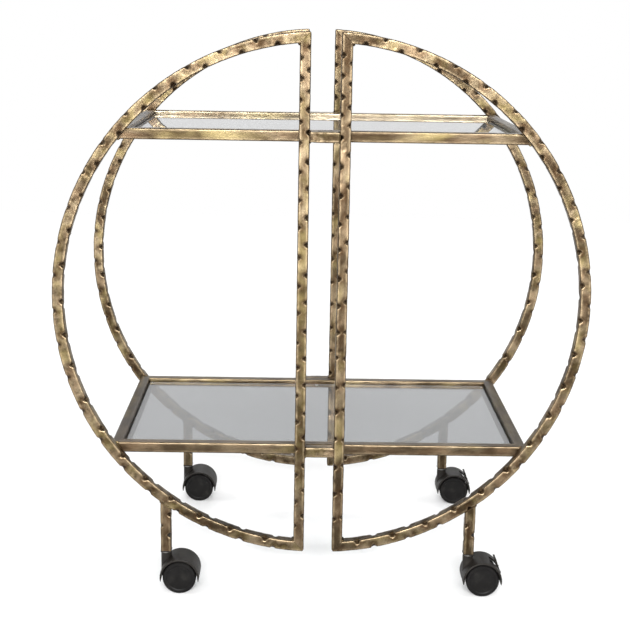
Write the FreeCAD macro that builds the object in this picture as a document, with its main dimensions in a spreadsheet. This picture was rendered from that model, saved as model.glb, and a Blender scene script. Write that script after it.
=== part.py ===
import FreeCAD, Part
import math
import os
import re
import Sketcher

# Round bar cart on four swivel casters, in millimetres.
# Origin: on the floor under the middle of the cart. +Z up, +X to the right-hand casters (the two
# with brake levers), +Y from the front frames to the back frames.

DIMS = {
    # square tube of the whole frame
    "tube": 16.0,
    "wall": 1.2,
    # round frames: two D shapes in front, two behind
    "arc_radius": 385.0,
    "arc_offset": 5.0,
    "arc_height": 448.0,
    "gap_half": 21.0,
    "frame_depth": 396.0,
    # shelf frames, their ledges and glass
    "top_length": 590.0,
    "top_base": 679.0,
    "bottom_length": 620.0,
    "bottom_base": 213.0,
    "ledge_width": 8.0,
    "ledge_thick": 3.0,
    "ledge_lift": 0.5,
    "pad_radius": 3.0,
    "pad_thick": 1.0,
    "glass_thick": 5.0,
    "glass_gap": 1.5,
    "glass_corner": 3.0,
    "glass_bevel": 0.8,
    # legs and their insert plugs
    "leg_spread": 229.0,
    "leg_base": 62.0,
    "plug_flange": 1.5,
    "plug_height": 34.0,
    # steel stem, fixed in the plug; the hood turns on its lower end
    "stem_radius": 4.0,
    "stem_base": 30.5,
    "stem_top": 90.0,
    "stem_chamfer": 0.8,
    "collar_radius": 7.5,
    "collar_thick": 2.0,
    "ring_base": 80.0,
    "ring_height": 2.0,
    "ring_depth": 0.7,
    "ring_slit": 1.5,
    # caster hood
    "trail": 21.0,
    "hood_radius": 29.5,
    "hood_skin": 2.5,
    "hood_width": 47.0,
    "hood_round": 1.0,
    "tip_drop": 5.5,
    "tip_thick": 0.7,
    "boss_radius": 8.0,
    "boss_base": 29.0,
    "boss_top": 58.0,
    "column_radius": 6.0,
    "column_top": 46.0,
    "web_thick": 5.0,
    "hub_radius": 8.0,
    "hub_width": 12.0,
    "run_gap": 0.05,
    "bore_base": 30.0,
    # wheels and axle
    "wheel_radius": 25.0,
    "wheel_inner": 6.5,
    "wheel_outer": 23.0,
    "wheel_hub": 6.0,
    "wheel_web": 19.0,
    "wheel_rim": 21.5,
    "wheel_bevel": 1.5,
    "wheel_lip": 1.0,
    "dish_radius": 18.5,
    "dish_slope": 1.5,
    "axle_radius": 3.0,
    "axle_half": 20.0,
    "axle_chamfer": 0.5,
    # brake lever on the right-hand casters
    "lever_x": 26.2,
    "lever_z": 10.6,
    "lever_pin": 1.0,
    "lever_barrel": 2.0,
    "lever_half": 9.0,
    "lever_length": 21.0,
    "lever_thick": 3.0,
    "lug_radius": 2.4,
    "lug_width": 25.0,
    "slot_half": 9.6,
    "slot_inner": 24.6,
    "slot_outer": 33.0,
}
SLOT_FROM = 12.0
SLOT_TO = 66.0
LEVER_LEAN = 18.6
CASTERS = {"front_left": (-1, -1), "front_right": (1, -1), "back_left": (-1, 1), "back_right": (1, 1)}

doc = FreeCAD.newDocument("bar_cart")
sheet = doc.addObject("Spreadsheet::Sheet", "Dims")
for row, (word, number) in enumerate(DIMS.items(), start=1):
    sheet.set(f"A{row}", word)
    sheet.set(f"B{row}", str(number))
    sheet.setAlias(f"B{row}", word)
doc.recompute()
pieces = []


# ---------------------------------------------------------------- sheet and sketch helpers

def value(formula):
    """The number that a sum of sheet words comes to, such as 'arc_radius - 0.5*tube'."""
    total = 0.0
    sign = 1.0
    for word in formula.split():
        if word in "+-":
            sign = float(word + "1")
        else:
            factor, _, name = word.rpartition("*")
            total += sign * float(factor or 1) * DIMS[name]
    return total


def linked(formula):
    """The same sum as an expression that reads the sheet."""
    return re.sub(r"[a-z_]+", r"Dims.\g<0>", formula)


def minus(formula):
    """The same sum with every sign turned round."""
    words = formula.split()
    turned = [{"+": "-", "-": "+"}.get(word, word) for word in words]
    factor, _, name = words[0].rpartition("*")
    turned[0] = f"{-float(factor or 1)}*{name}"
    return " ".join(turned)


def bind(thing, path, formula):
    thing.setExpression(path, linked(formula))


def new_body(label):
    body = doc.addObject("PartDesign::Body", "Body_" + label)
    body.Label = label
    pieces.append(body)
    return body


def place(piece, x="", y="", z="", turn=0.0, axis=(0, 0, 1)):
    """Puts a piece at a point given by sheet sums, turned about an axis through its own origin."""
    piece.Placement.Rotation = FreeCAD.Rotation(FreeCAD.Vector(*axis), turn)
    for name, formula in (("x", x), ("y", y), ("z", z)):
        if formula:
            bind(piece, "Placement.Base." + name, formula)


def new_sketch(body, role, lift=""):
    """Empty sketch on one of the body's origin planes, lifted off it when asked."""
    sketch = body.newObject("Sketcher::SketchObject", "Sketch_" + body.Label)
    plane = [feature for feature in body.Origin.OriginFeatures if feature.Role == role]
    sketch.AttachmentSupport = [(plane[0], "")]
    sketch.MapMode = "FlatFace"
    if lift:
        bind(sketch, "AttachmentOffset.Base.z", lift)
    return sketch


def rule(sketch, kind, *args, formula=""):
    """One sketch constraint, tied to the sheet when it has a size."""
    if formula:
        number = sketch.addConstraint(Sketcher.Constraint(kind, *args, value(formula)))
        bind(sketch, f"Constraints[{number}]", formula)
    else:
        sketch.addConstraint(Sketcher.Constraint(kind, *args))


def pin_point(sketch, geo, end, x, y):
    """Ties a point to its distances from the sketch's origin; an empty sum means on the axis."""
    for kind, formula, on_axis in (("DistanceX", x, -2), ("DistanceY", y, -1)):
        if formula:
            rule(sketch, kind, -1, 1, geo, end, formula=formula)
        else:
            rule(sketch, "PointOnObject", geo, end, on_axis)


def polygon(sketch, corners):
    """Closed outline through corners given as pairs of sheet sums."""
    points = [FreeCAD.Vector(value(x), value(y), 0) for x, y in corners]
    first = sketch.GeometryCount
    count = len(points)
    for i, point in enumerate(points):
        sketch.addGeometry(Part.LineSegment(point, points[(i + 1) % count]), False)
    for i, (x, y) in enumerate(corners):
        rule(sketch, "Coincident", first + (i - 1) % count, 2, first + i, 1)
        pin_point(sketch, first + i, 1, x, y)


def block(sketch, half_width, half_height):
    """Rectangle about the sketch's origin."""
    left, low = minus(half_width), minus(half_height)
    polygon(sketch, [(left, low), (half_width, low), (half_width, half_height), (left, half_height)])


def circle(sketch, x, y, radius, construction=False):
    """Circle given by sheet sums; returns its number in the sketch."""
    centre = FreeCAD.Vector(value(x), value(y), 0)
    geo = sketch.addGeometry(Part.Circle(centre, FreeCAD.Vector(0, 0, 1), value(radius)), construction)
    pin_point(sketch, geo, 3, x, y)
    rule(sketch, "Radius", geo, formula=radius)
    return geo


def arc(sketch, x, y, radius, start, end):
    """Arc about (x, y) from one angle to another, in degrees; its ends are left free."""
    centre = FreeCAD.Vector(value(x), value(y), 0)
    ring = Part.Circle(centre, FreeCAD.Vector(0, 0, 1), value(radius))
    geo = sketch.addGeometry(Part.ArcOfCircle(ring, math.radians(start), math.radians(end)), False)
    pin_point(sketch, geo, 3, x, y)
    rule(sketch, "Radius", geo, formula=radius)
    return geo


def join(sketch, geo_a, end_a, geo_b, end_b):
    """Straight edge between the ends of two edges; returns its number in the sketch."""
    start, stop = sketch.getPoint(geo_a, end_a), sketch.getPoint(geo_b, end_b)
    geo = sketch.addGeometry(Part.LineSegment(start, stop), False)
    rule(sketch, "Coincident", geo_a, end_a, geo, 1)
    rule(sketch, "Coincident", geo, 2, geo_b, end_b)
    return geo


def grow(body, kind, sketch, length="", both_ways=False, reverse=False):
    """Pad or Pocket of a sketch; with no length it goes through all."""
    feature = body.newObject("PartDesign::" + kind, kind + "_" + body.Label)
    feature.Profile = sketch
    if both_ways:
        feature.SideType = "Symmetric"
    feature.Reversed = reverse
    if length:
        bind(feature, "Length", length)
    else:
        feature.Type = "ThroughAll"
    doc.recompute()
    return feature


def spin(body, sketch, axis):
    """Full revolution of a sketch about one of its own axes."""
    feature = body.newObject("PartDesign::Revolution", "Revolution_" + body.Label)
    feature.Profile = sketch
    feature.ReferenceAxis = (sketch, [axis])
    feature.Angle = 360.0
    doc.recompute()
    return feature


def dress(body, kind, base, edges, size):
    """Fillet or Chamfer on the chosen edges of a feature."""
    feature = body.newObject("PartDesign::" + kind, kind + "_" + body.Label)
    feature.Base = (base, edges)
    bind(feature, "Radius" if kind == "Fillet" else "Size", size)
    doc.recompute()
    return feature


def edges_where(feature, test):
    return [f"Edge{i}" for i, edge in enumerate(feature.Shape.Edges, start=1) if test(edge)]


# ---------------------------------------------------------------- round frames

def bore_tube(body, role, near_side=""):
    """Opens a straight tube that runs across the plane, about its axis or from its near side on."""
    sketch = new_sketch(body, role)
    half = "0.5*tube - wall"
    if near_side:
        left, right = f"{near_side} + wall", f"{near_side} + tube - wall"
        polygon(sketch, [(left, minus(half)), (right, minus(half)), (right, half), (left, half)])
    else:
        block(sketch, half, half)
    grow(body, "Pocket", sketch, both_ways=True)


def upright(label, depth, turn):
    """Vertical tube beside the gap. Both ends are mitred from the arc's outer to its inner curve."""
    body = new_body(label)
    sketch = new_sketch(body, "XZ_Plane")
    outer = circle(sketch, "arc_offset", "arc_height", "arc_radius", construction=True)
    inner = circle(sketch, "arc_offset", "arc_height", "arc_radius - tube", construction=True)
    reach = value("arc_radius")
    near, far = value("gap_half"), value("gap_half + tube")
    low, high = value("arc_height") - reach, value("arc_height") + reach
    corners = [(near, low), (near, high), (far, high), (far, low)]
    points = [FreeCAD.Vector(x, z, 0) for x, z in corners]
    sides = zip(points, points[1:] + points[:1])
    lines = [sketch.addGeometry(Part.LineSegment(start, end), False) for start, end in sides]
    for i in range(4):
        rule(sketch, "Coincident", lines[i - 1], 2, lines[i], 1)
        rule(sketch, "PointOnObject", lines[i], 1, outer if i < 2 else inner)
    rule(sketch, "Vertical", lines[0])
    rule(sketch, "Vertical", lines[2])
    rule(sketch, "DistanceX", -1, 1, lines[0], 1, formula="gap_half")
    rule(sketch, "DistanceX", -1, 1, lines[2], 1, formula="gap_half + tube")
    grow(body, "Pad", sketch, "tube", both_ways=True)
    bore_tube(body, "XY_Plane", "gap_half")
    place(body, y=depth, turn=turn)


def bow(body, outer_radius, inner_radius, inner_end):
    """Closed outline between two arcs about the frame's centre, from just off the gap."""
    sketch = new_sketch(body, "XZ_Plane")
    curves = []
    for radius, end in ((outer_radius, "gap_half"), (inner_radius, inner_end)):
        swing = math.degrees(math.acos((value(end) - value("arc_offset")) / value(radius)))
        geo = arc(sketch, "arc_offset", "arc_height", radius, -swing, swing)
        rule(sketch, "DistanceX", -1, 1, geo, 1, formula=end)
        rule(sketch, "DistanceX", -1, 1, geo, 2, formula=end)
        curves.append(geo)
    join(sketch, curves[0], 2, curves[1], 2)
    join(sketch, curves[1], 1, curves[0], 1)
    return sketch


def round_arc(label, depth, turn):
    """Bent tube, mitred to the upright at both ends and hollow from end to end."""
    body = new_body(label)
    outside = bow(body, "arc_radius", "arc_radius - tube", "gap_half + tube")
    grow(body, "Pad", outside, "tube", both_ways=True)
    inside = bow(body, "arc_radius - wall", "arc_radius - tube + wall", "gap_half")
    grow(body, "Pocket", inside, "tube - wall - wall", both_ways=True)
    place(body, y=depth, turn=turn)


def tie_bar(label, depth, base):
    """Short tube that bridges the gap between two uprights."""
    body = new_body(label)
    sketch = new_sketch(body, "YZ_Plane")
    block(sketch, "0.5*tube", "0.5*tube")
    grow(body, "Pad", sketch, "gap_half + gap_half", both_ways=True)
    bore_tube(body, "YZ_Plane")
    place(body, y=depth, z=f"{base} + 0.5*tube")


def leg(label, depth, turn):
    """Vertical tube whose top is coped to the outside of the arc."""
    body = new_body(label)
    sketch = new_sketch(body, "XZ_Plane")
    left, right = "leg_spread - 0.5*tube", "leg_spread + 0.5*tube"
    reach = value("arc_radius")
    swings = [-math.degrees(math.acos((value(x) - value("arc_offset")) / reach)) for x in (left, right)]
    top = arc(sketch, "arc_offset", "arc_height", "arc_radius", *swings)
    base = value("leg_base")
    corners = [FreeCAD.Vector(value(x), base, 0) for x in (left, right)]
    foot = sketch.addGeometry(Part.LineSegment(*corners), False)
    pin_point(sketch, foot, 1, left, "leg_base")
    pin_point(sketch, foot, 2, right, "leg_base")
    rule(sketch, "Vertical", join(sketch, foot, 2, top, 2))
    rule(sketch, "Vertical", join(sketch, top, 1, foot, 1))
    grow(body, "Pad", sketch, "tube", both_ways=True)
    bore_tube(body, "XY_Plane", left)
    place(body, y=depth, turn=turn)


# ---------------------------------------------------------------- shelves

def rail(label, half_length, x, y, z, turn):
    """Shelf rail along its own X axis, mitred at 45 degrees; its outer face is at local -Y."""
    body = new_body(label)
    sketch = new_sketch(body, "XY_Plane")
    inner_half = f"{half_length} - tube"
    polygon(sketch, [(minus(half_length), "-0.5*tube"), (half_length, "-0.5*tube"),
                     (inner_half, "0.5*tube"), (minus(inner_half), "0.5*tube")])
    grow(body, "Pad", sketch, "tube", both_ways=True)
    bore_tube(body, "YZ_Plane")
    place(body, x=x, y=y, z=z, turn=turn)


def box_in_shelf(body, half_x, half_y, thick, x_half_inner="", y_half_inner=""):
    """Flat rectangle, or rectangular ring when inner sizes are given, padded upwards."""
    sketch = new_sketch(body, "XY_Plane")
    for wide, deep in ((half_x, half_y), (x_half_inner, y_half_inner)):
        if wide:
            block(sketch, wide, deep)
    return grow(body, "Pad", sketch, thick)


def shelf(level):
    """Four mitred rails, the ledge welded inside them, the glass pads and the glass."""
    base = f"{level}_base"
    middle = f"{base} + 0.5*tube"
    half_x = f"0.5*{level}_length"
    half_y = "0.5*frame_depth - tube"
    rail(f"{level}_shelf_rail_front", half_x, "", "-0.5*frame_depth + 1.5*tube", middle, 0)
    rail(f"{level}_shelf_rail_back", half_x, "", "0.5*frame_depth - 1.5*tube", middle, 180)
    rail(f"{level}_shelf_rail_left", half_y, f"-0.5*{level}_length + 0.5*tube", "", middle, 270)
    rail(f"{level}_shelf_rail_right", half_y, f"0.5*{level}_length - 0.5*tube", "", middle, 90)

    ledge = new_body(f"{level}_shelf_ledge")
    inside_x, inside_y = f"{half_x} - tube", f"{half_y} - tube"
    box_in_shelf(ledge, inside_x, inside_y, "ledge_thick",
                 f"{inside_x} - ledge_width", f"{inside_y} - ledge_width")
    place(ledge, z=f"{base} + ledge_lift")

    glass = new_body(f"{level}_glass")
    slab = box_in_shelf(glass, f"{inside_x} - glass_gap", f"{inside_y} - glass_gap", "glass_thick")
    upright_edges = edges_where(slab, lambda edge: abs(edge.tangentAt(edge.FirstParameter).z) > 0.9)
    rounded = dress(glass, "Fillet", slab, upright_edges, "glass_corner")
    rim = edges_where(rounded, lambda edge: edge.BoundBox.ZLength < 0.1)
    dress(glass, "Chamfer", rounded, rim, "glass_bevel")
    place(glass, z=f"{base} + ledge_lift + ledge_thick + pad_thick")

    pads = []
    for side_x in (-1, 0, 1):
        for side_y in (-1, 1):
            pad = doc.addObject("Part::Cylinder", f"Pad_{level}")
            bind(pad, "Radius", "pad_radius")
            bind(pad, "Height", "pad_thick")
            reach_x = f"{inside_x} - 0.5*ledge_width"
            reach_y = f"{inside_y} - 0.5*ledge_width"
            if side_x:
                pad.setExpression("Placement.Base.x", f"{side_x} * ({linked(reach_x)})")
            pad.setExpression("Placement.Base.y", f"{side_y} * ({linked(reach_y)})")
            pads.append(pad)
    group = doc.addObject("Part::Compound", f"Pads_{level}")
    group.Label = f"{level}_glass_pads"
    group.Links = pads
    pieces.append(group)
    place(group, z=f"{base} + ledge_lift + ledge_thick")


# ---------------------------------------------------------------- casters

def leg_plug(label, x, y):
    """Insert that closes the leg's end and holds the stem."""
    body = new_body(label)
    flange = new_sketch(body, "XY_Plane", "leg_base - plug_flange")
    block(flange, "0.5*tube", "0.5*tube")
    grow(body, "Pad", flange, "plug_flange")
    plug = new_sketch(body, "XY_Plane", "leg_base")
    block(plug, "0.5*tube - wall", "0.5*tube - wall")
    grow(body, "Pad", plug, "plug_height")
    hole = new_sketch(body, "XY_Plane")
    circle(hole, "", "", "stem_radius")
    grow(body, "Pocket", hole, both_ways=True)
    place(body, x=x, y=y)


def stem(label, x, y):
    """Turned steel stem with a collar under the leg and a groove for the grip ring."""
    body = new_body(label)
    sketch = new_sketch(body, "XZ_Plane")
    collar_top = "leg_base - plug_flange"
    waist = "stem_radius - ring_depth"
    polygon(sketch, [("", "stem_base"),
                     ("stem_radius - stem_chamfer", "stem_base"),
                     ("stem_radius", "stem_base + stem_chamfer"),
                     ("stem_radius", f"{collar_top} - collar_thick"),
                     ("collar_radius", f"{collar_top} - collar_thick"),
                     ("collar_radius", collar_top),
                     ("stem_radius", collar_top),
                     ("stem_radius", "ring_base"),
                     (waist, "ring_base"),
                     (waist, "ring_base + ring_height"),
                     ("stem_radius", "ring_base + ring_height"),
                     ("stem_radius", "stem_top - stem_chamfer"),
                     ("stem_radius - stem_chamfer", "stem_top"),
                     ("", "stem_top")])
    spin(body, sketch, "V_Axis")
    place(body, x=x, y=y)


def grip_rings():
    """One split spring ring in each stem's groove, kept as a group."""
    rings = []
    for name, (side_x, side_y) in CASTERS.items():
        parts = []
        for radius in ("stem_radius", "stem_radius - ring_depth"):
            disc = doc.addObject("Part::Cylinder", "Disc_" + name)
            bind(disc, "Radius", radius)
            bind(disc, "Height", "ring_height")
            parts.append(disc)
        slit = doc.addObject("Part::Box", "Slit_" + name)
        bind(slit, "Length", "stem_radius + stem_radius")
        bind(slit, "Width", "ring_slit")
        bind(slit, "Height", "ring_height")
        bind(slit, "Placement.Base.y", "-0.5*ring_slit")
        tools = doc.addObject("Part::MultiFuse", "Tools_" + name)
        tools.Shapes = [parts[1], slit]
        ring = doc.addObject("Part::Cut", "Ring_" + name)
        ring.Base = parts[0]
        ring.Tool = tools
        place(ring, x=f"{side_x}*leg_spread",
              y=f"{0.5 * side_y}*frame_depth - {0.5 * side_y}*tube", z="ring_base")
        rings.append(ring)
    group = doc.addObject("Part::Compound", "Grip_rings")
    group.Label = "grip_rings"
    group.Links = rings
    pieces.append(group)


def hood_side(body, radius, chord_angle):
    """Side view of the hood: an arc over the axle, closed by a chord below it."""
    sketch = new_sketch(body, "XZ_Plane")
    over = arc(sketch, "trail", "wheel_radius", radius, -chord_angle, 180 + chord_angle)
    for end in (1, 2):
        rule(sketch, "DistanceY", -1, 1, over, end, formula="wheel_radius - tip_drop")
    join(sketch, over, 2, over, 1)
    return sketch


def hood_inside(body):
    """Wheel space: round above the axle, then slanting out so that the hood ends in thin tips."""
    sketch = new_sketch(body, "XZ_Plane")
    over = arc(sketch, "trail", "wheel_radius", "hood_radius - hood_skin", 0, 180)
    for end in (1, 2):
        rule(sketch, "DistanceY", -1, 1, over, end, formula="wheel_radius")
    lows = []
    for side in (1, -1):
        start = sketch.getPoint(over, 1 if side > 0 else 2)
        reach = value("hood_radius - tip_thick")
        drop = value("wheel_radius - tip_drop - tip_drop")
        stop = FreeCAD.Vector(value("trail") + side * reach, drop, 0)
        geo = sketch.addGeometry(Part.LineSegment(start, stop), False)
        rule(sketch, "Coincident", over, 1 if side > 0 else 2, geo, 1)
        sign = "+" if side > 0 else "-"
        other = "-" if side > 0 else "+"
        pin_point(sketch, geo, 2, f"trail {sign} hood_radius {other} tip_thick",
                  "wheel_radius - tip_drop - tip_drop")
        lows.append(geo)
    join(sketch, lows[0], 2, lows[1], 2)
    return sketch


def caster_hood(label, x, y, with_brake):
    """One moulding: hood, web between the wheels, axle hub, and the column that turns on the stem."""
    body = new_body(label)
    chord = math.degrees(math.asin(value("tip_drop") / value("hood_radius")))
    shell = grow(body, "Pad", hood_side(body, "hood_radius", chord), "hood_width", both_ways=True)
    rims = edges_where(shell, lambda edge: edge.Curve.TypeId == "Part::GeomCircle")
    dress(body, "Fillet", shell, rims, "hood_round")
    boss = new_sketch(body, "XY_Plane", "boss_base")
    circle(boss, "", "", "boss_radius")
    grow(body, "Pad", boss, "boss_top - boss_base")
    grow(body, "Pocket", hood_inside(body), both_ways=True)
    web = hood_side(body, "hood_radius - 0.5*hood_skin", chord)
    grow(body, "Pad", web, "web_thick", both_ways=True)
    hub = new_sketch(body, "XZ_Plane")
    circle(hub, "trail", "wheel_radius", "hub_radius")
    grow(body, "Pad", hub, "hub_width", both_ways=True)
    column = new_sketch(body, "XY_Plane", "wheel_radius - tip_drop")
    circle(column, "", "", "column_radius")
    grow(body, "Pad", column, "column_top - wheel_radius + tip_drop")
    if with_brake:
        brake_slot(body)
    bore = new_sketch(body, "XY_Plane", "boss_top")
    circle(bore, "", "", "stem_radius + run_gap")
    grow(body, "Pocket", bore, "boss_top - bore_base")
    hole = new_sketch(body, "XZ_Plane")
    circle(hole, "trail", "wheel_radius", "axle_radius")
    grow(body, "Pocket", hole, both_ways=True)
    place(body, x=x, y=y)


def brake_slot(body):
    """Window through the trailing side of the hood, with a lug for the lever's pin at each side."""
    lug = new_sketch(body, "XZ_Plane")
    circle(lug, "trail + lever_x", "wheel_radius + lever_z", "lug_radius")
    grow(body, "Pad", lug, "lug_width", both_ways=True)
    window = new_sketch(body, "XZ_Plane")
    curves = [arc(window, "trail", "wheel_radius", radius, SLOT_FROM, SLOT_TO)
              for radius in ("slot_inner", "slot_outer")]
    sides = [join(window, curves[0], end, curves[1], end) for end in (1, 2)]
    for geo, angle in zip(sides, (SLOT_FROM, SLOT_TO)):
        rule(window, "Angle", geo, math.radians(angle))
        rule(window, "PointOnObject", curves[0], 3, geo)
    grow(body, "Pocket", window, "slot_half + slot_half", both_ways=True)
    pin_hole = new_sketch(body, "XZ_Plane")
    circle(pin_hole, "trail + lever_x", "wheel_radius + lever_z", "lever_pin")
    grow(body, "Pocket", pin_hole, "lug_width", both_ways=True)


def axle(label, x, y):
    """Steel pin through the hub, with both ends chamfered."""
    body = new_body(label)
    sketch = new_sketch(body, "XZ_Plane")
    circle(sketch, "", "", "axle_radius")
    rod = grow(body, "Pad", sketch, "axle_half + axle_half", both_ways=True)
    ends = edges_where(rod, lambda edge: edge.Curve.TypeId == "Part::GeomCircle")
    dress(body, "Chamfer", rod, ends, "axle_chamfer")
    place(body, x=f"{x} + trail", y=y, z="wheel_radius")


def wheel(label, x, y, turn):
    """Dished outer disc, rim and hub in one moulding, open towards the hood's web."""
    body = new_body(label)
    sketch = new_sketch(body, "YZ_Plane")
    bore = "axle_radius + run_gap"
    dish = "wheel_outer - wheel_lip"
    polygon(sketch, [("wheel_inner", bore),
                     ("wheel_inner", "wheel_hub"),
                     ("wheel_web", "wheel_hub"),
                     ("wheel_web", "wheel_rim"),
                     ("wheel_inner + wheel_bevel", "wheel_rim"),
                     ("wheel_inner + wheel_bevel", "wheel_radius - wheel_bevel"),
                     ("wheel_inner + wheel_bevel + wheel_bevel", "wheel_radius"),
                     ("wheel_outer - wheel_bevel", "wheel_radius"),
                     ("wheel_outer", "wheel_radius - wheel_bevel"),
                     ("wheel_outer", "dish_radius + dish_slope"),
                     (dish, "dish_radius"),
                     (dish, ""),
                     ("axle_half + axle_chamfer", ""),
                     ("axle_half + axle_chamfer", bore)])
    spin(body, sketch, "H_Axis")
    place(body, x=f"{x} + trail", y=y, z="wheel_radius", turn=turn)


def brake_lever(label, x, y):
    """Flat flap that stands out of the hood above its pin barrel; its foot can reach the wheels."""
    body = new_body(label)
    barrel = new_sketch(body, "XZ_Plane")
    circle(barrel, "", "", "lever_barrel")
    grow(body, "Pad", barrel, "lever_half + lever_half", both_ways=True)
    flap = new_sketch(body, "XZ_Plane")
    polygon(flap, [("-0.5*lever_thick", ""), ("0.5*lever_thick", ""),
                   ("0.5*lever_thick", "lever_length - lever_pin"),
                   ("0.5*lever_thick - lever_pin", "lever_length"),
                   ("-0.5*lever_thick", "lever_length")])
    grow(body, "Pad", flap, "lever_half + lever_half", both_ways=True)
    hole = new_sketch(body, "XZ_Plane")
    circle(hole, "", "", "lever_pin + run_gap")
    grow(body, "Pocket", hole, both_ways=True)
    place(body, x=f"{x} + trail + lever_x", y=y, z="wheel_radius + lever_z",
          turn=-LEVER_LEAN, axis=(0, 1, 0))


def lever_pin(label, x, y):
    """Short steel pin held in the hood's two lugs."""
    body = new_body(label)
    sketch = new_sketch(body, "XZ_Plane")
    circle(sketch, "", "", "lever_pin")
    grow(body, "Pad", sketch, "lug_width", both_ways=True)
    place(body, x=f"{x} + trail + lever_x", y=y, z="wheel_radius + lever_z")


# ---------------------------------------------------------------- assembly

for row_name, row in (("front", -1), ("back", 1)):
    depth = f"{0.5 * row}*frame_depth - {0.5 * row}*tube"
    for side_name, turn in (("right", 0), ("left", 180)):
        # a half turn swaps left for right, so the tube stays in its own row
        upright(f"upright_{row_name}_{side_name}", depth, turn)
        round_arc(f"arc_{row_name}_{side_name}", depth, turn)
        leg(f"leg_{row_name}_{side_name}", depth, turn)
    for level in ("top", "bottom"):
        tie_bar(f"tie_bar_{row_name}_{level}", depth, f"{level}_base")

shelf("top")
shelf("bottom")

for corner, (side_x, side_y) in CASTERS.items():
    leg_x = f"{side_x}*leg_spread"
    leg_y = f"{0.5 * side_y}*frame_depth - {0.5 * side_y}*tube"
    with_brake = side_x > 0
    leg_plug(f"leg_plug_{corner}", leg_x, leg_y)
    stem(f"stem_{corner}", leg_x, leg_y)
    caster_hood(f"caster_hood_{corner}", leg_x, leg_y, with_brake)
    axle(f"axle_{corner}", leg_x, leg_y)
    wheel(f"wheel_{corner}_outer", leg_x, leg_y, 0 if side_y > 0 else 180)
    wheel(f"wheel_{corner}_inner", leg_x, leg_y, 180 if side_y > 0 else 0)
    if with_brake:
        brake_lever(f"brake_lever_{corner}", leg_x, leg_y)
        lever_pin(f"lever_pin_{corner}", leg_x, leg_y)
grip_rings()

doc.recompute()
for item in doc.Objects:
    if "Invalid" in item.State or "Error" in item.State:
        raise RuntimeError(f"{item.Label} did not compute: {item.State}")
for piece in pieces:
    if piece.Shape.isNull() or not piece.Shape.isValid() or piece.Shape.Volume <= 0:
        raise RuntimeError(f"{piece.Label} has no valid solid")

os.makedirs("parts", exist_ok=True)
for piece in pieces:
    piece.Shape.exportStep(f"parts/{piece.Label}.step")
print(len(pieces), "sub-parts written")
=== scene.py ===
import math
import random
from collections import namedtuple

import bmesh
import bpy
import numpy as np
from mathutils import Matrix, Vector


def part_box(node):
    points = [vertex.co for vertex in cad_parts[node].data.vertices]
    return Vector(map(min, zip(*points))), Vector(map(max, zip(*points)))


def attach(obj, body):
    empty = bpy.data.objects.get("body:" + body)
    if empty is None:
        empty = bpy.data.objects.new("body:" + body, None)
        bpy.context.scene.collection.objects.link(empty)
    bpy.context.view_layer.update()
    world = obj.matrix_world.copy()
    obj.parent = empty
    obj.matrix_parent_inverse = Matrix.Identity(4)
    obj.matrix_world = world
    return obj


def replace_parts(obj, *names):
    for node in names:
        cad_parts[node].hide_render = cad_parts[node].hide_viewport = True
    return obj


# Round bar cart of hammered antique-brass tube, with two glass shelves and four swivel casters.
# Metres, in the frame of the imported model: +Z up, +X to the casters with brake levers, -Y the front.

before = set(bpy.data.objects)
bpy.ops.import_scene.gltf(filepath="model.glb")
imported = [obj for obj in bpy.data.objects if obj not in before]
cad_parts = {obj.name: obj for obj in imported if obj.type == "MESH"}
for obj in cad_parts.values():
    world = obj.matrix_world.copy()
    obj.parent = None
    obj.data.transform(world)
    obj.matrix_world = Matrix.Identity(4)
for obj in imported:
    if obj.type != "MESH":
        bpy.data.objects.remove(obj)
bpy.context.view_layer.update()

MM = 0.001
FRAME_BODY = "cart_frame"
ROWS = ("front", "back")
SIDES = {"left": -1, "right": 1}
LEVELS = ("top", "bottom")


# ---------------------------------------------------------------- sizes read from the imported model

def box_mm(node):
    """Lowest and highest corner of a CAD node, in millimetres."""
    low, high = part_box(node)
    return low / MM, high / MM


UP_LOW, UP_HIGH = box_mm("upright_front_right")
TUBE = UP_HIGH.x - UP_LOW.x
HALF = TUBE / 2
GAP_HALF = UP_LOW.x
FRAME_Y = (UP_HIGH.y + UP_LOW.y) / 2
ARC_Z = (UP_HIGH.z + UP_LOW.z) / 2
ARC_RISE = UP_HIGH.z - ARC_Z
ARC_REACH = box_mm("arc_front_right")[1].x
# the circle that passes through the gap-side corners and touches x = ARC_REACH
ARC_X = (ARC_REACH**2 - GAP_HALF**2 - ARC_RISE**2) / (2 * (ARC_REACH - GAP_HALF))
ARC_R = ARC_REACH - ARC_X
INNER_RISE = math.sqrt((ARC_R - TUBE) ** 2 - (GAP_HALF + TUBE - ARC_X) ** 2)
LEG_X = sum(corner.x for corner in box_mm("leg_front_right")) / 2
LEG_BASE = box_mm("leg_front_right")[0].z
RAIL_Z = {level: sum(corner.z for corner in box_mm(f"{level}_shelf_rail_front")) / 2
          for level in LEVELS}
RAIL_X = {level: box_mm(f"{level}_shelf_rail_right")[1].x for level in LEVELS}
RAIL_Y = box_mm("top_shelf_rail_back")[1].y


# ---------------------------------------------------------------- materials

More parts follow.
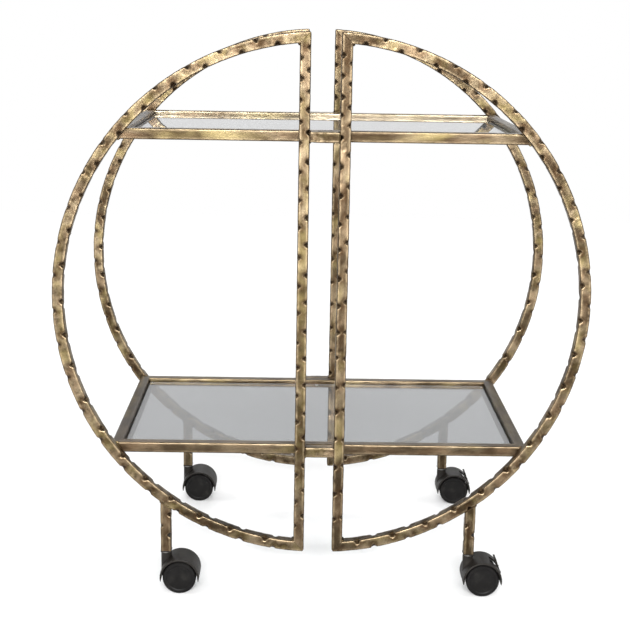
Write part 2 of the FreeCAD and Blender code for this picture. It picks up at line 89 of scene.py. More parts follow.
class Nodes:
    """Short way to build a material or a world: add() makes a node, sets its inputs and links sockets."""

    def __init__(self, name, world=False):
        self.block = (bpy.data.worlds if world else bpy.data.materials).new(name)
        self.block.use_nodes = True
        self.tree = self.block.node_tree
        self.tree.nodes.clear()
        self.output = self.add("OutputWorld" if world else "OutputMaterial")
        self.coords = self.add("TexCoord").outputs["Generated" if world else "Object"]

    def add(self, kind, settings=None, **inputs):
        node = self.tree.nodes.new("ShaderNode" + kind)
        for name, setting in (settings or {}).items():
            setattr(node, name, setting)
        for name, entry in inputs.items():
            socket = node.inputs[int(name[1:]) if name[0] == "_" else name.replace("_", " ")]
            if isinstance(entry, bpy.types.NodeSocket):
                self.tree.links.new(entry, socket)
            else:
                socket.default_value = entry
        return node

    def noise(self, scale, detail=3.0, rough=0.55, stretch=None):
        """Noise of a size in the piece's own frame; stretch squeezes it along each axis."""
        place = self.coords
        if stretch:
            place = self.add("Mapping", Vector=place, Scale=stretch).outputs["Vector"]
        noise = self.add("TexNoise", Vector=place, Scale=scale, Detail=detail, Roughness=rough)
        return noise.outputs["Fac"]

    def ramp(self, factor, stops):
        """Grey or colour ramp through (position, value) stops."""
        node = self.add("ValToRGB", Fac=factor)
        elements = node.color_ramp.elements
        while len(elements) < len(stops):
            elements.new(0.5)
        for element, (position, colour) in zip(elements, stops):
            element.position = position
            grey = isinstance(colour, (int, float))
            element.color = (colour, colour, colour, 1) if grey else (*colour[:3], 1)
        return node.outputs["Color"]

    def mix(self, factor, low, high, blend="MIX"):
        node = self.add("Mix", {"data_type": "RGBA", "blend_type": blend}, _0=factor, _6=low, _7=high)
        return node.outputs[2]

    def maths(self, operation, first, second=0.0, third=0.0):
        settings = {"operation": operation, "use_clamp": True}
        return self.add("Math", settings, _0=first, _1=second, _2=third).outputs[0]

    def attribute(self, name):
        return self.add("Attribute", {"attribute_name": name}).outputs["Fac"]

    def bump(self, height, strength, distance, under=None):
        inputs = {"Height": height, "Strength": strength, "Distance": distance}
        if under is not None:
            inputs["Normal"] = under
        return self.add("Bump", **inputs).outputs["Normal"]

    def finish(self, shader):
        self.tree.links.new(shader, self.output.inputs["Surface"])
        return self.block


OLIVE = (0.30, 0.240, 0.095, 1)
RUSSET = (0.255, 0.168, 0.100, 1)
# grime colour, also used for painted shade along the bars' rounded corners
GRIME_AND_SHADE = (0.058, 0.032, 0.015, 1)
DENT_SHADE = (0.030, 0.016, 0.008, 1)
# painted highlight colour, also the colour of rubbed brass
RUB_AND_HIGHLIGHT = (0.67, 0.54, 0.345, 1)
DUST = (0.16, 0.15, 0.13, 1)
WHITE = (1, 1, 1, 1)


def toned(colour, factor):
    """A lighter or darker version of a colour."""
    return (*[min(1.0, factor * part) for part in colour], 1)


def brass(name, light, dark, stretch=None, rub_and_highlight_amount=1.0):
    """Satin antique brass: blotched patina, fine speckle, edges rubbed and partly lit by a painted
    highlight; painted shade in the dents (partly the patina of their hollows), strongest where they face
    down, along the rounded corners and on faces turned straight up; painted highlights on the parts of dents
    and edges that tilt a little upward.
    """
    n = Nodes(name)
    blotch = n.noise(46.0, 4.0, 0.62, stretch)
    cloud = n.noise(17.0, 2.0, 0.5)
    hue = n.noise(33.0, 2.0, 0.5, stretch)
    speck = n.noise(700.0, 3.0, 0.65)
    scratch = n.noise(170.0, 5.0, 0.7, stretch)
    middle = [0.5 * (a + b) for a, b in zip(light, dark)]
    tone = n.ramp(blotch, [(0.39, dark), (0.49, middle), (0.58, light)])
    tone = n.mix(n.ramp(hue, [(0.48, 0.0), (0.64, 0.45)]), tone, OLIVE)
    tone = n.mix(n.ramp(hue, [(0.36, 0.40), (0.47, 0.0)]), tone, RUSSET)
    tone = n.mix(n.ramp(cloud, [(0.46, 0.0), (0.60, 0.80)]), tone, toned(dark, 0.65))
    tone = n.mix(n.ramp(speck, [(0.30, 0.55), (0.46, 0.0)]), tone, toned(dark, 0.4))

    up = n.add("SeparateXYZ", Vector=n.add("TexCoord").outputs["Normal"]).outputs["Z"]
    up = n.maths("MULTIPLY_ADD", up, 0.5, 0.5)
    dent, rubbed_and_lit, stain_and_shade = n.attribute("dent"), n.attribute("rubbed_and_lit"), n.attribute("stain_and_shade")
    # grime at the welds, darkening round the marks, and painted shade along the rounded corners
    stain_shade_mask = n.maths("MULTIPLY", n.ramp(stain_and_shade, [(0.10, 0.0), (0.50, 0.9)]),
                      n.ramp(scratch, [(0.30, 1.0), (0.66, 0.7)]))
    tone = n.mix(stain_shade_mask, tone, GRIME_AND_SHADE)
    # painted shade: only the rounded corners reach this part of the mask
    tone = n.mix(n.ramp(stain_and_shade, [(0.64, 0.0), (0.90, 0.9)]), tone, toned(dark, 0.35))
    # edges rubbed bright, partly a painted highlight
    edge_rub_and_highlight = n.maths("MULTIPLY", rubbed_and_lit, n.ramp(scratch, [(0.36, 0.0), (0.60, 0.75 * rub_and_highlight_amount)]))
    tone = n.mix(edge_rub_and_highlight, tone, toned(light, 2.4))
    # painted shade on faces turned straight up
    tone = n.mix(n.ramp(up, [(0.86, 0.0), (0.97, 0.55)]), tone, toned(dark, 0.5))
    # painted shade in the dents, strongest where they face down; partly the patina of their hollows
    shaded = n.maths("MULTIPLY", n.ramp(dent, [(0.15, 0.0), (0.85, 0.93)]),
                     n.ramp(up, [(0.56, 1.0), (0.78, 0.80)]))
    tone = n.mix(shaded, tone, DENT_SHADE)
    # painted highlight on dent lips and rubbed edges where they tilt a little upward
    lip = n.ramp(dent, [(0.0, 0.0), (0.07, 0.4), (0.20, 0.4), (0.36, 0.0)])
    highlight_and_rub = n.maths("MULTIPLY", n.maths("MAXIMUM", n.maths("MULTIPLY", rubbed_and_lit, 0.6 * rub_and_highlight_amount), lip),
                     n.ramp(up, [(0.58, 0.0), (0.65, 0.8), (0.74, 0.15)]))
    tone = n.mix(highlight_and_rub, tone, RUB_AND_HIGHLIGHT)

    rough = n.maths("MULTIPLY_ADD", shaded, 0.3, n.ramp(blotch, [(0.35, 0.44), (0.65, 0.30)]))
    fine = n.bump(speck, 0.06, 0.0004)
    shape = n.bump(scratch, 0.14, 0.0012, fine)
    shape = n.bump(blotch, 0.50, 0.0030, shape)
    surface = n.add("BsdfPrincipled", Base_Color=tone, Metallic=1.0, Roughness=rough, Normal=shape)
    return n.finish(surface.outputs["BSDF"])


def plastic(name, colour, roughness, grain):
    """Moulded black plastic with a fine grain and faint mottling."""
    n = Nodes(name)
    mottle = n.noise(70.0, 3.0)
    pores = n.noise(grain, 2.0, 0.6)
    tone = n.ramp(mottle, [(0.35, toned(colour, 0.8)), (0.65, toned(colour, 1.25))])
    dust = n.ramp(n.noise(60.0, 4.0, 0.6), [(0.50, 0.0), (0.80, 0.08)])
    tone = n.mix(dust, tone, DUST)
    rough = n.ramp(mottle, [(0.3, roughness - 0.05), (0.7, roughness + 0.07)])
    surface = n.add("BsdfPrincipled", Base_Color=tone, Roughness=rough,
                    Normal=n.bump(pores, 0.25, 0.0002))
    surface.inputs["Specular IOR Level"].default_value = 0.2
    return n.finish(surface.outputs["BSDF"])


def steel(name):
    """Zinc-plated turned steel."""
    n = Nodes(name)
    turned = n.noise(500.0, 3.0, 0.6, (1, 1, 6))
    tone = n.ramp(turned, [(0.35, (0.16, 0.15, 0.14)), (0.65, (0.34, 0.33, 0.31))])
    rough = n.ramp(turned, [(0.3, 0.38), (0.7, 0.24)])
    surface = n.add("BsdfPrincipled", Base_Color=tone, Metallic=1.0, Roughness=rough,
                    Normal=n.bump(turned, 0.15, 0.0002))
    return n.finish(surface.outputs["BSDF"])


def glass(name):
    """Clear float glass with a faint grey tint, a little waviness and light smears."""
    n = Nodes(name)
    wave = n.noise(3.0, 1.0, 0.4)
    smear = n.ramp(n.noise(18.0, 4.0, 0.65), [(0.50, 0.012), (0.80, 0.05)])
    surface = n.add("BsdfPrincipled", Base_Color=(0.43, 0.44, 0.45, 1), Roughness=smear,
                    Normal=n.bump(wave, 0.05, 0.002))
    surface.inputs["Transmission Weight"].default_value = 0.84
    surface.inputs["IOR"].default_value = 1.5
    surface.inputs["Specular IOR Level"].default_value = 0.75
    clear = n.add("BsdfTransparent", Color=(0.80, 0.82, 0.825, 1))
    shadow = n.add("LightPath").outputs["Is Shadow Ray"]
    either = n.add("MixShader", _0=shadow, _1=surface.outputs["BSDF"], _2=clear.outputs[0])
    return n.finish(either.outputs[0])


def soft_pad(name):
    """Clear silicone bumper."""
    n = Nodes(name)
    haze = n.ramp(n.noise(400.0, 3.0), [(0.3, 0.25), (0.7, 0.4)])
    surface = n.add("BsdfPrincipled", Base_Color=(0.85, 0.85, 0.82, 1), Roughness=haze)
    surface.inputs["Transmission Weight"].default_value = 0.7
    return n.finish(surface.outputs["BSDF"])


BRASS_LIGHT, BRASS_DARK = (0.246, 0.190, 0.119), (0.050, 0.032, 0.017)
HAMMERED = brass("hammered_brass", BRASS_LIGHT, BRASS_DARK)
HAMMERED_Z = brass("hammered_brass_z", BRASS_LIGHT, BRASS_DARK, (1, 1, 0.4))
SMOOTH_X = brass("smooth_brass_x", (0.175, 0.134, 0.085), (0.058, 0.038, 0.021), (0.3, 1, 1))
# painted light: a lighter copy of the smooth brass, used on the top back rail
SMOOTH_PAINTED_LIGHT = brass("smooth_brass_painted_light", (0.42, 0.355, 0.255), (0.22, 0.175, 0.115), (0.3, 1, 1))
# painted shade: a darker copy of the smooth brass, used on the side rails
SMOOTH_Y_PAINTED_SHADE = brass("smooth_brass_y_painted_shade", (0.085, 0.066, 0.045), (0.045, 0.033, 0.022), (1, 0.15, 1), 0.25)
PLASTIC = plastic("black_plastic", (0.013, 0.011, 0.009), 0.45, 2600.0)
WHEEL = plastic("wheel_plastic", (0.0035, 0.003, 0.0028), 0.42, 1800.0)
STEEL = steel("zinc_steel")
GLASS = glass("grey_tinted_glass")
PAD = soft_pad("clear_pad")


# ---------------------------------------------------------------- square bars

CUT_REACH = 60.0    # how far from its point a trimming plane acts, in millimetres
OVERRUN = 14.0      # how far a bar is made past its ends, before it is trimmed
ROUNDING = 1.5      # radius of the bar's long edges
SIDE_PLACES = (-1.0, -0.80, -0.52, -0.18, 0.18, 0.52, 0.80)     # of points across half a face

# path gives the centre, outward and depth directions at each distance along a bar of this length
Way = namedtuple("Way", "path length")


def section():
    """Points round the bar's section, how near a corner each is, and which lie on the rounding."""
    flat = HALF - ROUNDING
    side = [(HALF, place * flat) for place in SIDE_PLACES]
    bend = [(flat + ROUNDING * math.cos(t), flat + ROUNDING * math.sin(t)) for t in (0.0, math.pi / 4)]
    points, edges, corners = [], [], []
    for quarter in range(4):
        turn = quarter * math.pi / 2
        for a, b in side + bend:
            points.append((a * math.cos(turn) - b * math.sin(turn), a * math.sin(turn) + b * math.cos(turn)))
            nearest = min(abs(a), abs(b))
            edges.append(max(0.0, 1 - (HALF - nearest) / (3 * ROUNDING)))
            corners.append(float(nearest > flat))
    return np.array(points), np.array(edges), np.array(corners)


def straight(start, end, outward):
    """Way along a line."""
    start, end, outward = Vector(start), Vector(end), Vector(outward)
    way = (end - start).normalized()
    depth = way.cross(outward)

    def path(s):
        ones = np.ones((len(s), 1))
        centre = np.array(start) + s[:, None] * np.array(way)
        return centre, ones * np.array(outward), ones * np.array(depth)
    return Way(path, (end - start).length)


def curve(side, y, start, sweep):
    """Way along the round frame's middle line, from an angle downwards; side is 1 or -1 in X."""
    radius = ARC_R - HALF

    def path(s):
        angle = start - s / radius
        outward = np.stack([side * np.cos(angle), np.zeros_like(s), np.sin(angle)], -1)
        centre = outward * radius + np.array([side * ARC_X, y, ARC_Z])
        return centre, outward, np.tile([0.0, float(side), 0.0], (len(s), 1))
    return Way(path, sweep * radius)


CLOSER = 0.7        # pitch of the marks where they are tight, as a part of the usual pitch


def dent_rows(length, rng, pitch, sizes, margin, tight=0.0):
    """Hammer marks along the four edges, in step with each other but never quite regular.

    sizes is (inner edge, outer edge); the first `tight` millimetres have closer marks.
    Each mark is the centre, radius and squeeze of the ball that made it, and how strongly it and the face
    round it are darkened, by patina and painted shade."""
    dents = []
    for outward, depth, phase in ((-1, -1, 0.0), (1, -1, 0.5), (-1, 1, 0.3), (1, 1, 0.8)):
        s = margin + phase * pitch * (CLOSER if tight else 1.0)
        size = sizes[0] if outward < 0 else sizes[1]
        while s < length - margin:
            radius = size * rng.uniform(0.86, 1.12)
            away = HALF + 0.44 * radius
            dents.append((s + rng.uniform(-2, 2), outward * away, depth * away, radius,
                          rng.uniform(2.0, 2.5), rng.uniform(0.8, 1.0)))
            s += (CLOSER if s < tight else 1.0) * pitch * rng.uniform(0.95, 1.07)
    return dents


def gouges(start, end, count, rng):
    """Small shallow marks scattered over all four faces of a stretch of bar."""
    marks = []
    for _ in range(count):
        radius = rng.uniform(2.6, 4.6)
        away = rng.choice((-1, 1)) * (HALF + rng.uniform(0.68, 0.82) * radius)
        across = rng.uniform(-0.8, 0.8) * HALF
        a, b = (away, across) if rng.random() < 0.5 else (across, away)
        marks.append((rng.uniform(start, end), a, b, radius,
                      rng.uniform(0.7, 1.6), rng.uniform(0.2, 0.5)))
    return marks


MARK_FADE = 14.0    # how far outside its ball a mark still shows
SOFTNESS = 0.5      # how gently a mark's wall turns into the face round it
DRAG = 0.4          # how much of the push also goes along the bar


def pushed_in(s, a, b, dents):
    """Moves points out of each mark's ball.

    Returns the new s, a and b, how much each point is dented, how much it lies on the band just outside a
    mark that gets a painted highlight, and how much it is darkened round a mark."""
    depth = np.zeros_like(s)
    rim = np.zeros_like(s)
    stain_and_shade = np.zeros_like(s)
    for centre, at_a, at_b, radius, squeeze, darkness in dents:
        near = np.abs(s[:, 0] - centre) < radius + MARK_FADE
        if not near.any():
            continue
        ds = (s[near] - centre) * squeeze
        da = a[near] - at_a
        db = b[near] - at_b
        gap = np.sqrt(ds**2 + da**2 + db**2)
        push = SOFTNESS * np.logaddexp(0.0, (radius - gap) / SOFTNESS)
        a[near] += push * da / gap
        b[near] += push * db / gap
        s[near] += DRAG * push * ds / gap / squeeze
        dented = darkness * np.minimum(1, push / (0.36 * radius))
        # painted highlight on a band just outside the mark
        rim_glint = 0.35 * np.exp(-((gap - radius - 0.5) / 0.8) ** 2)
        # darkening on the face round the mark
        halo = np.maximum(np.sqrt((0.8 * ds) ** 2 + da**2 + db**2) - radius, 0)
        halo_darkening = 0.62 * darkness * np.exp(-halo / (0.42 * radius))
        depth[near] = np.maximum(depth[near], dented)
        rim[near] = np.maximum(rim[near], rim_glint)
        stain_and_shade[near] = np.maximum(stain_and_shade[near], halo_darkening)
    return s, a, b, depth, rim, stain_and_shade


def uneven(s, count, rng, amount):
    """Slow random waviness for each of the section's points, between 0 and amount."""
    total = np.zeros((len(s), count))
    turn = np.arange(count) / count * 2 * math.pi
    for wavelength in (61.0, 37.0, 23.0, 14.0):
        lobes = rng.choice((1, 2, 3))
        total += np.sin(s[:, None] * 2 * math.pi / (wavelength * rng.uniform(0.85, 1.15))
                        + lobes * turn[None, :] + rng.uniform(0, 6.28))
    return amount * (0.5 + total / 8)


def dented_mesh(name, way, dents, rng, wave, step):
    """Square bar along a path, open at its ends, with its marks, and masks for edge rubbing with painted
    highlight and for darkening with painted shade.
    """
    count = max(4, int((way.length + 2 * OVERRUN) / step))
    stations = np.linspace(-OVERRUN, way.length + OVERRUN, count)
    ring, edge, corner = section()
    s = np.repeat(stations[:, None], len(ring), 1)
    shrink = 1 - uneven(stations, len(ring), rng, wave) / HALF
    a = ring[None, :, 0] * shrink
    b = ring[None, :, 1] * shrink
    s, a, b, depth, rim, stain_and_shade = pushed_in(s, a, b, dents)
    centre, outward, across = way.path(s.ravel())
    points = centre + a.reshape(-1, 1) * outward + b.reshape(-1, 1) * across

    columns = len(ring)
    rows = np.arange(count - 1)[:, None] * columns
    here = np.arange(columns)
    after = (here + 1) % columns
    quads = np.stack([rows + here, rows + after, rows + columns + after, rows + columns + here], -1)
    mesh = bpy.data.meshes.new(name)
    mesh.from_pydata((points * MM).tolist(), [], quads.reshape(-1, 4).tolist())

    corner = np.tile(corner, (count, 1))
    # flats beside each corner and the band round each mark: partly edge rubbing, partly painted highlight
    rubbed_and_lit = np.maximum(np.tile(edge, (count, 1)) * (1 - corner), rim) * (1 - depth)
    # painted shade along the bar's rounded corners
    stain_and_shade = np.maximum(stain_and_shade, 0.9 * corner)
    for label, values in (("dent", depth), ("rubbed_and_lit", rubbed_and_lit), ("stain_and_shade", stain_and_shade)):
        attribute = mesh.attributes.new(label, "FLOAT", "POINT")
        attribute.data.foreach_set("value", values.ravel().astype(np.float32))
    return mesh


def trim(mesh, cuts):
    """Cuts a mesh off at each plane (point, outward normal), closes it there and shades it smooth."""
    shape = bmesh.new()
    shape.from_mesh(mesh)
    for point, normal in cuts:
        point = Vector(point) * MM
        close = {vert for vert in shape.verts if (vert.co - point).length < CUT_REACH * MM}
        nearby = list(close)
        nearby += [item for item in shape.edges[:] + shape.faces[:] if close.issuperset(item.verts)]
        cut = bmesh.ops.bisect_plane(shape, geom=nearby, dist=1e-6, plane_co=point,
                                     plane_no=Vector(normal), clear_outer=True)
        opening = [item for item in cut["geom_cut"] if isinstance(item, bmesh.types.BMEdge)]
        bmesh.ops.contextual_create(shape, geom=opening)
        for edge in opening:
            edge.smooth = False
    bmesh.ops.recalc_face_normals(shape, faces=shape.faces)
    for face in shape.faces:
        face.smooth = True
    shape.to_mesh(mesh)
    shape.free()


def piece(name, mesh, material):
    """Puts a finished mesh in the scene as one piece of the cart's frame."""
    thing = bpy.data.objects.new(name, mesh)
    bpy.context.scene.collection.objects.link(thing)
    mesh.materials.append(material)
    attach(thing, FRAME_BODY)
    return thing


def bar(name, replaced, way, dents, cuts, material, seed, wave=0.35, step=1.8):
    """Square bar along a path, dented and trimmed, in place of a CAD node."""
    mesh = dented_mesh(name, way, dents, random.Random(seed), wave, step)
    trim(mesh, cuts)
    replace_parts(piece(name, mesh, material), replaced)


# ---------------------------------------------------------------- round frames and legs

TIP_BEVEL = 1.9     # how far the sharp corners of a round frame are cut back along each side
LEG_ENTRY = 1.0     # how far a leg's upper end reaches into its arc
ROUGH_PATCH = (120.0, 215.0)    # stretch below the top of the front right upright with many small marks


def mitres(side, y):
    """Cutting planes through the frame's two corners, with normals towards the upright's end."""
    planes = []
    for sign in (1, -1):
        corner = Vector((side * GAP_HALF, y, ARC_Z + sign * ARC_RISE))
        heel = Vector((side * (GAP_HALF + TUBE), y, ARC_Z + sign * INNER_RISE))
        line = corner - heel
        normal = Vector((side * abs(line.z), 0, sign * abs(line.x))).normalized()
        planes.append((corner, normal))
    return planes


def frame_y(row):
    """Where the middle of the front or back round frame is."""
    return FRAME_Y if row == "front" else -FRAME_Y


def round_frame(row, side_name, seed):
    """One D: the upright by the gap and the arc, mitred into each other, with their tips bevelled."""
    side = SIDES[side_name]
    y = frame_y(row)
    planes = mitres(side, y)
    tips = [((side * (GAP_HALF + TIP_BEVEL), y, ARC_Z + sign * (ARC_RISE - TIP_BEVEL)), (-side, 0, sign))
            for sign in (1, -1)]
    rng = random.Random(seed)

    x = side * (GAP_HALF + HALF)
    way = straight((x, y, ARC_Z + ARC_RISE), (x, y, ARC_Z - ARC_RISE), (side, 0, 0))
    dents = dent_rows(way.length, rng, pitch=41.0, sizes=(13.2, 12.6), margin=22.0, tight=130.0)
    if (row, side_name) == ("front", "right"):
        dents += gouges(*ROUGH_PATCH, 26, rng)
    bar(f"hammered_upright_{row}_{side_name}", f"upright_{row}_{side_name}", way, dents, planes + tips,
        HAMMERED_Z, seed + 1)

    begin = math.acos((GAP_HALF + HALF - ARC_X) / (ARC_R - HALF))
    way = curve(side, y, begin, 2 * begin)
    dents = dent_rows(way.length, rng, pitch=51.0, sizes=(14.6, 12.8), margin=26.0)
    dents += gouges(20.0, way.length - 20.0, 30, rng)
    away = [(point, -normal) for point, normal in planes]
    bar(f"hammered_arc_{row}_{side_name}", f"arc_{row}_{side_name}", way, dents, away + tips,
        HAMMERED, seed + 2)


def hammered_leg(row, side_name, seed):
    """Leg that runs up into the underside of its arc and is cut along it."""
    side = SIDES[side_name]
    x, y = side * LEG_X, frame_y(row)
    drop = math.sqrt((ARC_R - LEG_ENTRY) ** 2 - (LEG_X - ARC_X) ** 2)
    top, base = (x, y, ARC_Z - drop), (x, y, LEG_BASE)
    way = straight(top, base, (side, 0, 0))
    dents = dent_rows(way.length, random.Random(seed), pitch=34.0, sizes=(12.4, 12.0), margin=16.0)
    to_arc_centre = (side * (ARC_X - LEG_X), 0, drop)
    ends = [(base, (0, 0, -1)), (top, to_arc_centre)]
    bar(f"hammered_leg_{row}_{side_name}", f"leg_{row}_{side_name}", way, dents, ends, HAMMERED_Z, seed + 1)


def tie_bar(row, level, seed):
    """Short rough bar between the two uprights."""
    y = frame_y(row)
    z = RAIL_Z[level]
    way = straight((-GAP_HALF, y, z), (GAP_HALF, y, z), (0, 0, 1))
    dents = gouges(3.0, way.length - 3.0, 16, random.Random(seed))
    ends = [((sign * GAP_HALF, y, z), (sign, 0, 0)) for sign in (-1, 1)]
    bar(f"rough_tie_bar_{row}_{level}", f"tie_bar_{row}_{level}", way, dents, ends, HAMMERED, seed + 1,
        wave=0.45)


# ---------------------------------------------------------------- shelves

def shelf_rails(level, seed):
    """Four smooth rails with soft edges, mitred at the corners."""
    z = RAIL_Z[level]
    reach = {"x": RAIL_X[level], "y": RAIL_Y}
    slope = math.sqrt(0.5)
    for number, (name, sign) in enumerate((("front", -1), ("back", 1), ("left", -1), ("right", 1))):
        along_x = name in ("front", "back")
        mine, other = ("x", "y") if along_x else ("y", "x")
        offset = sign * (reach[other] - HALF)
        ends = [(-reach[mine], offset, z), (reach[mine], offset, z)]
        outward = (0, sign, 0)
        cuts = [((end * reach["x"], sign * reach["y"], z), (end * slope, -sign * slope, 0))
                for end in (-1, 1)]
        if not along_x:
            ends = [(y, x, z) for x, y, z in ends]
            outward = (sign, 0, 0)
            cuts = [((sign * reach["x"], end * reach["y"], z), (-sign * slope, end * slope, 0))
                    for end in (-1, 1)]
        # painted shade: the side rails take the darker copy of the smooth brass
        finish = SMOOTH_X if along_x else SMOOTH_Y_PAINTED_SHADE
        # painted light: the top back rail takes the lighter copy of the smooth brass
        if (level, name) == ("top", "back"):
            finish = SMOOTH_PAINTED_LIGHT
        bar(f"smooth_{level}_rail_{name}", f"{level}_shelf_rail_{name}", straight(*ends, outward), [], cuts,
            finish, seed + number, wave=0.16, step=4.0)


# ---------------------------------------------------------------- weld beads

BEAD_FACETS = 10


def bead(points, radius, rng):
    """Lumpy weld bead along a polyline: returns its points and faces, closed at both ends."""
    points = [Vector(point) for point in points]
    samples = []
    for start, end in zip(points, points[1:]):
        pieces = max(2, int((end - start).length / 0.8))
        samples += [start.lerp(end, i / pieces) for i in range(pieces)]
    samples.append(points[-1])
    last = len(samples) - 1

    verts, faces = [], []
    for i, centre in enumerate(samples):
        way = (samples[min(i + 1, last)] - samples[max(i - 1, 0)]).normalized()
        side = way.orthogonal().normalized()
        rise = way.cross(side)
        taper = min(1.0, (min(i, last - i) + 0.6) / 2.5)
        ripple = 0.86 + 0.2 * abs(math.sin(i * 1.05)) + rng.uniform(-0.05, 0.08)
        for j in range(BEAD_FACETS):
            angle = 2 * math.pi * j / BEAD_FACETS
            reach = radius * taper * ripple * (1 + 0.08 * math.sin(3 * angle + i))
            verts.append(centre + reach * (math.cos(angle) * side + math.sin(angle) * rise))
    for i in range(last):
        here, there = i * BEAD_FACETS, (i + 1) * BEAD_FACETS
        for j in range(BEAD_FACETS):
            k = (j + 1) % BEAD_FACETS
            faces.append((here + j, here + k, there + k, there + j))
    faces.append(tuple(range(BEAD_FACETS - 1, -1, -1)))
    faces.append(tuple(last * BEAD_FACETS + j for j in range(BEAD_FACETS)))
    return verts, faces


BEAD_INSET = HALF - 0.4     # beads lie this far from a bar's middle, just under its face


def corner_beads(side, sign, near, far):
    """Both mitre faces, the bevelled tip and the inner corner of one corner of a round frame."""
    corner = (side * (GAP_HALF + 0.8), ARC_Z + sign * (ARC_RISE - 1.0))
    heel = (side * (GAP_HALF + TUBE), ARC_Z + sign * INNER_RISE)
    tip = (side * (GAP_HALF + 3.1), ARC_Z + sign * (ARC_RISE - 3.1))
    crook = (heel[0] + side * 0.2, heel[1] - sign * 0.2)
    beads = [([(corner[0], face, corner[1]), (heel[0], face, heel[1])], 0.55) for face in (near, far)]
    beads.append(([(tip[0], near + 0.9, tip[1]), (tip[0], far - 0.9, tip[1])], 2.5))
    beads.append(([(crook[0], near + 0.6, crook[1]), (crook[0], far - 0.6, crook[1])], 2.4))
    return beads


def leg_beads(side, near, far):
    """All round the upper end of a leg, along the arc's underside."""
    seam = []
    for step in (-1, 0, 1):
        x = LEG_X + step * (HALF - 0.6)
        seam.append((side * x, ARC_Z - math.sqrt(ARC_R**2 - (x - ARC_X) ** 2)))
    beads = [([(x, face, z) for x, z in seam], 1.2) for face in (near, far)]
    beads += [([(x, near, z - 0.3), (x, far, z - 0.3)], 1.9) for x, z in (seam[0], seam[2])]
    return beads


def tie_bar_beads(side, level, near, far):
    """All round one end of a tie bar."""
    x, z = side * GAP_HALF, RAIL_Z[level]
    beads = [([(x, face, z - BEAD_INSET), (x, face, z + BEAD_INSET)], 1.1) for face in (near, far)]
    beads += [([(x, near, height), (x, far, height)], 1.4) for height in (z - BEAD_INSET, z + BEAD_INSET)]
    return beads


def rail_beads(side, level, y):
    """Above and below a shelf rail, where it meets an upright and where it meets an arc."""
    z = RAIL_Z[level]
    on_arc = ARC_X + math.sqrt((ARC_R - HALF) ** 2 - (z - ARC_Z) ** 2)
    beads = []
    for middle in (GAP_HALF + HALF, on_arc):
        start = side * (middle - HALF + 1)
        end = side * min(middle + HALF - 1, RAIL_X[level])
        for height in (z - HALF + 0.3, z + HALF - 0.3):
            beads.append(([(start, y, height), (end, y, height)], 1.8))
    return beads


def welds():
    """All beads of the frame, joined into one piece."""
    beads = []
    for row in (-1, 1):
        y = row * abs(FRAME_Y)
        faces = (y - BEAD_INSET, y + BEAD_INSET)
        for side in (-1, 1):
            for sign in (-1, 1):
                beads += corner_beads(side, sign, *faces)
            beads += leg_beads(side, *faces)
            for level in LEVELS:
                beads += tie_bar_beads(side, level, *faces)
                beads += rail_beads(side, level, row * RAIL_Y)

    rng = random.Random(71)
    verts, faces = [], []
    for points, radius in beads:
        new_verts, new_faces = bead(points, radius, rng)
        faces += [tuple(len(verts) + index for index in face) for face in new_faces]
        verts += new_verts
    mesh = bpy.data.meshes.new("weld_beads")
    mesh.from_pydata([tuple(v * MM) for v in verts], [], faces)
    stain_and_shade = mesh.attributes.new("stain_and_shade", "FLOAT", "POINT")
    stain_and_shade.data.foreach_set("value", np.full(len(verts), 0.2, np.float32))
    mesh.polygons.foreach_set("use_smooth", [True] * len(mesh.polygons))
    piece("weld_beads", mesh, HAMMERED)


# ---------------------------------------------------------------- stage, lights and camera

def stage():
    """Plain pale floor that fades into the white behind it; mirrors see it darker in front."""
    mesh = bpy.data.meshes.new("floor")
    half, front, shaded_span = 3.8, 7.0, 4.0
    corners = [(-half, -front, 0), (half, -front, 0), (half, half, 0), (-half, half, 0)]
    mesh.from_pydata(corners, [], [(0, 1, 2, 3)])
    floor = bpy.data.objects.new("floor", mesh)
    bpy.context.scene.collection.objects.link(floor)

    n = Nodes("floor_paint")
    depth = n.add("SeparateXYZ", Vector=n.coords).outputs["Y"]
    tone = n.ramp(n.noise(2.0, 2.0), [(0.3, 0.955), (0.7, 0.97)])
    ahead = n.ramp(n.maths("MULTIPLY", depth, -1 / shaded_span),
                   [(0.20, 0.66), (0.34, 0.46), (0.60, 0.50), (0.88, 1.0)])
    mirrored = n.add("LightPath").outputs["Is Glossy Ray"]
    tone = n.mix(mirrored, tone, n.mix(1.0, tone, ahead, "MULTIPLY"))
    paint = n.add("BsdfPrincipled", Base_Color=tone, Roughness=0.9).outputs["BSDF"]
    clear = n.add("BsdfTransparent").outputs["BSDF"]
    fade = n.ramp(n.maths("MULTIPLY", depth, 1 / shaded_span), [(0.40, 0.0), (0.90, 1.0)])
    mesh.materials.append(n.finish(n.add("MixShader", _0=fade, _1=paint, _2=clear).outputs[0]))


def surroundings():
    """White to the camera; to the rest, white at the horizon and dimmer above and below it."""
    n = Nodes("studio", world=True)
    height = n.add("SeparateXYZ", Vector=n.coords).outputs["Z"]
    glow = n.ramp(n.maths("MULTIPLY_ADD", height, 0.5, 0.5),
                  [(0.45, 0.15), (0.485, 1.0), (0.51, 0.98), (0.60, 0.84), (0.68, 0.82), (0.80, 0.30)])
    rays = n.add("LightPath").outputs
    direct = n.maths("MAXIMUM", rays["Is Camera Ray"], rays["Is Transmission Ray"])
    tone = n.mix(direct, glow, WHITE)
    bpy.context.scene.world = n.finish(n.add("Background", Color=tone, Strength=1.0).outputs["Background"])


def lamp(name, kind, power, place=(0, 0, 0)):
    """A lamp that shines straight down."""
    data = bpy.data.lights.new(name, kind)
    data.energy = power
    thing = bpy.data.objects.new(name, data)
    thing.location = place
    bpy.context.scene.collection.objects.link(thing)
    return data


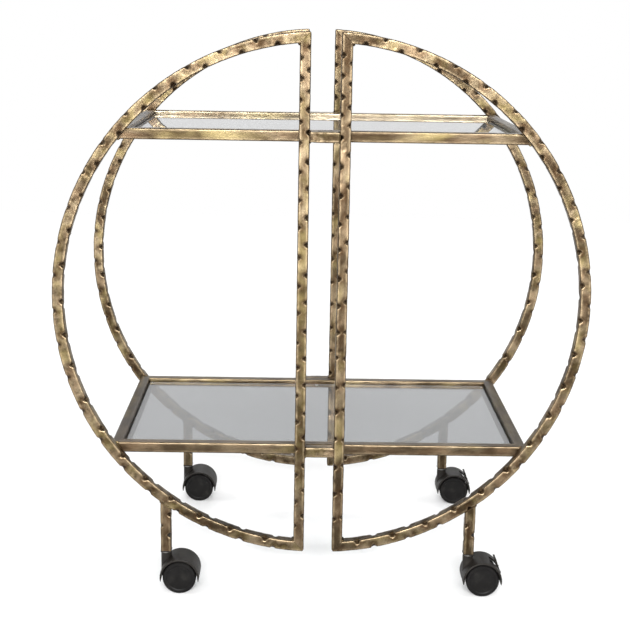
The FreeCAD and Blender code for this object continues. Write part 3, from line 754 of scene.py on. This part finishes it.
def lights():
    """Level panels in front, behind and at both sides, and a weak even light from above."""
    long, short = 3.0, 1.5
    for name, x, y, height, power in (("front_panel", 0.0, -4.2, 1.9, 620.0),
                                      ("left_panel", -3.6, 0.0, 3.0, 75.0),
                                      ("back_panel", 0.0, 3.6, 3.0, 80.0),
                                      ("right_panel", 3.6, 0.0, 3.0, 75.0)):
        panel = lamp(name, "AREA", power, (x, y, height))
        panel.shape = "RECTANGLE"
        panel.size, panel.size_y = (long, short) if x == 0 else (short, long)
    lamp("even_light", "SUN", 0.15).angle = math.radians(50)


def camera():
    """Camera in front of the cart, a little above it and looking down."""
    data = bpy.data.cameras.new("camera")
    data.sensor_width = 36.0
    data.lens = 73.1
    thing = bpy.data.objects.new("camera", data)
    bpy.context.scene.collection.objects.link(thing)
    yaw, pitch, roll = math.radians(0.757), math.radians(-13.086), math.radians(0.967)
    ahead = Vector((math.sin(yaw) * math.cos(pitch), math.cos(yaw) * math.cos(pitch), math.sin(pitch)))
    level = Vector((math.cos(yaw), -math.sin(yaw), 0))
    above = level.cross(ahead)
    right = math.cos(roll) * level + math.sin(roll) * above
    up = math.cos(roll) * above - math.sin(roll) * level
    turn = Matrix((right, up, -ahead)).transposed().to_4x4()
    thing.matrix_world = Matrix.Translation((-0.0337, -2.0015, 0.8506)) @ turn
    bpy.context.scene.camera = thing


# ---------------------------------------------------------------- the whole object

seed = 100
for row in ROWS:
    for side_name in SIDES:
        round_frame(row, side_name, seed)
        hammered_leg(row, side_name, seed + 5)
        seed += 10
    for level in LEVELS:
        tie_bar(row, level, seed)
        seed += 3
for level in LEVELS:
    shelf_rails(level, seed)
    seed += 5
welds()

# finish of each CAD node that keeps its shape, by a part of its name
CARRIED = {"ledge": SMOOTH_X, "glass_pads": PAD, "glass": GLASS, "leg_plug": PLASTIC, "stem": STEEL,
           "caster_hood": PLASTIC, "axle": STEEL, "wheel": WHEEL, "brake_lever": PLASTIC,
           "lever_pin": STEEL, "grip_rings": STEEL}
for node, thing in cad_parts.items():
    for key, material in CARRIED.items():
        if key in node:
            thing.data.materials.clear()
            thing.data.materials.append(material)
            break

stage()
surroundings()
lights()
camera()
bpy.context.scene.view_settings.view_transform = "Standard"
